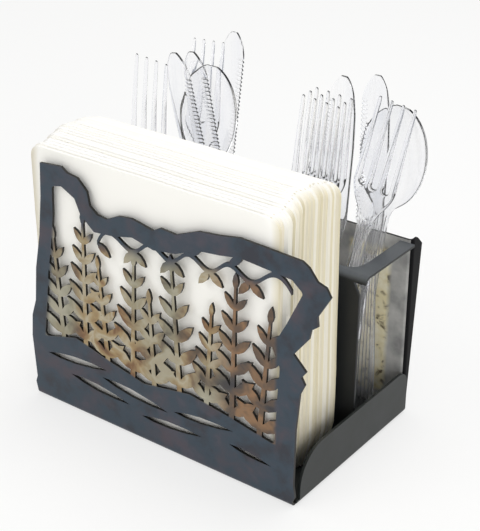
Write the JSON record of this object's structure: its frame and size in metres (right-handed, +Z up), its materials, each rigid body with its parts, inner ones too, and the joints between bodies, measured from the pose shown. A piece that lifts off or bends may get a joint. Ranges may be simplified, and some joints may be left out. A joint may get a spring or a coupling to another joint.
{
  "type": "cutlery and napkin holder",
  "caption": "Folded sheet-steel caddy with a pierced leaf-design front panel, a napkin bay and a divided rack behind it, filled with paper napkins and clear plastic cutlery.",
  "frame": {"origin": "middle of the tray's flat underside, on the table", "axes": "+X to the right along the front panel, +Y from the front panel to the back wall, +Z up"},
  "size_m": [0.195, 0.1197, 0.1937],
  "materials": {
    "dark_steel": "satin",
    "tinted_steel": "satin slate grey, with tan and brown tints on the leaf sprays",
    "napkin_paper": "matte",
    "clear_plastic": "clear, glossy"
  },
  "bodies": {
    "holder": {"tray": "dark_steel", "front_panel": "tinted_steel", "cutlery_deck": "dark_steel", "back_wall": "dark_steel", "centre_partition": "dark_steel"},
    "napkins": {"napkin_stack": "napkin_paper"},
    "fork_1_body": {"fork_1": "clear_plastic"},
    "fork_2_body": {"fork_2": "clear_plastic"},
    "fork_3_body": {"fork_3": "clear_plastic"},
    "fork_4_body": {"fork_4": "clear_plastic"},
    "fork_5_body": {"fork_5": "clear_plastic"},
    "fork_6_body": {"fork_6": "clear_plastic"},
    "knife_1_body": {"knife_1": "clear_plastic"},
    "knife_2_body": {"knife_2": "clear_plastic"},
    "knife_3_body": {"knife_3": "clear_plastic"},
    "knife_4_body": {"knife_4": "clear_plastic"},
    "knife_5_body": {"knife_5": "clear_plastic"},
    "spoon_1_body": {"spoon_1": "clear_plastic"},
    "spoon_2_body": {"spoon_2": "clear_plastic"}
  },
  "joints": [
    {"name": "napkin_lift", "type": "slide", "parent": "holder", "child": "napkins", "axis": [0, 0, 1], "range_m": [0, 0.16]},
    {"name": "fork_1_lift", "type": "slide", "parent": "holder", "child": "fork_1_body", "axis": [0.0958, -0.0642, 0.9933], "range_m": [0, 0.12]},
    {"name": "fork_2_lift", "type": "slide", "parent": "holder", "child": "fork_2_body", "axis": [-0.0523, 0.1476, 0.9877], "range_m": [0, 0.12]},
    {"name": "fork_3_lift", "type": "slide", "parent": "holder", "child": "fork_3_body", "axis": [0.1392, 0.1258, 0.9822], "range_m": [0, 0.12]},
    {"name": "fork_4_lift", "type": "slide", "parent": "holder", "child": "fork_4_body", "axis": [0.0941, -0.0573, 0.9939], "range_m": [0, 0.12]},
    {"name": "fork_5_lift", "type": "slide", "parent": "holder", "child": "fork_5_body", "axis": [0.0819, -0.0539, 0.9952], "range_m": [0, 0.12]},
    {"name": "fork_6_lift", "type": "slide", "parent": "holder", "child": "fork_6_body", "axis": [0.075, -0.0505, 0.9959], "range_m": [0, 0.12]},
    {"name": "knife_1_lift", "type": "slide", "parent": "holder", "child": "knife_1_body", "axis": [-0.165, -0.086, 0.9825], "range_m": [0, 0.12]},
    {"name": "knife_2_lift", "type": "slide", "parent": "holder", "child": "knife_2_body", "axis": [-0.1219, -0.09, 0.9885], "range_m": [0, 0.12]},
    {"name": "knife_3_lift", "type": "slide", "parent": "holder", "child": "knife_3_body", "axis": [0.0105, 0.1564, 0.9876], "range_m": [0, 0.12]},
    {"name": "knife_4_lift", "type": "slide", "parent": "holder", "child": "knife_4_body", "axis": [0.0558, -0.0157, 0.9983], "range_m": [0, 0.12]},
    {"name": "knife_5_lift", "type": "slide", "parent": "holder", "child": "knife_5_body", "axis": [-0.0175, 0.0436, 0.9989], "range_m": [0, 0.12]},
    {"name": "spoon_1_lift", "type": "slide", "parent": "holder", "child": "spoon_1_body", "axis": [0.0209, 0.1045, 0.9943], "range_m": [0, 0.12]},
    {"name": "spoon_2_lift", "type": "slide", "parent": "holder", "child": "spoon_2_body", "axis": [0.1219, 0.0346, 0.9919], "range_m": [0, 0.12]}
  ]
}
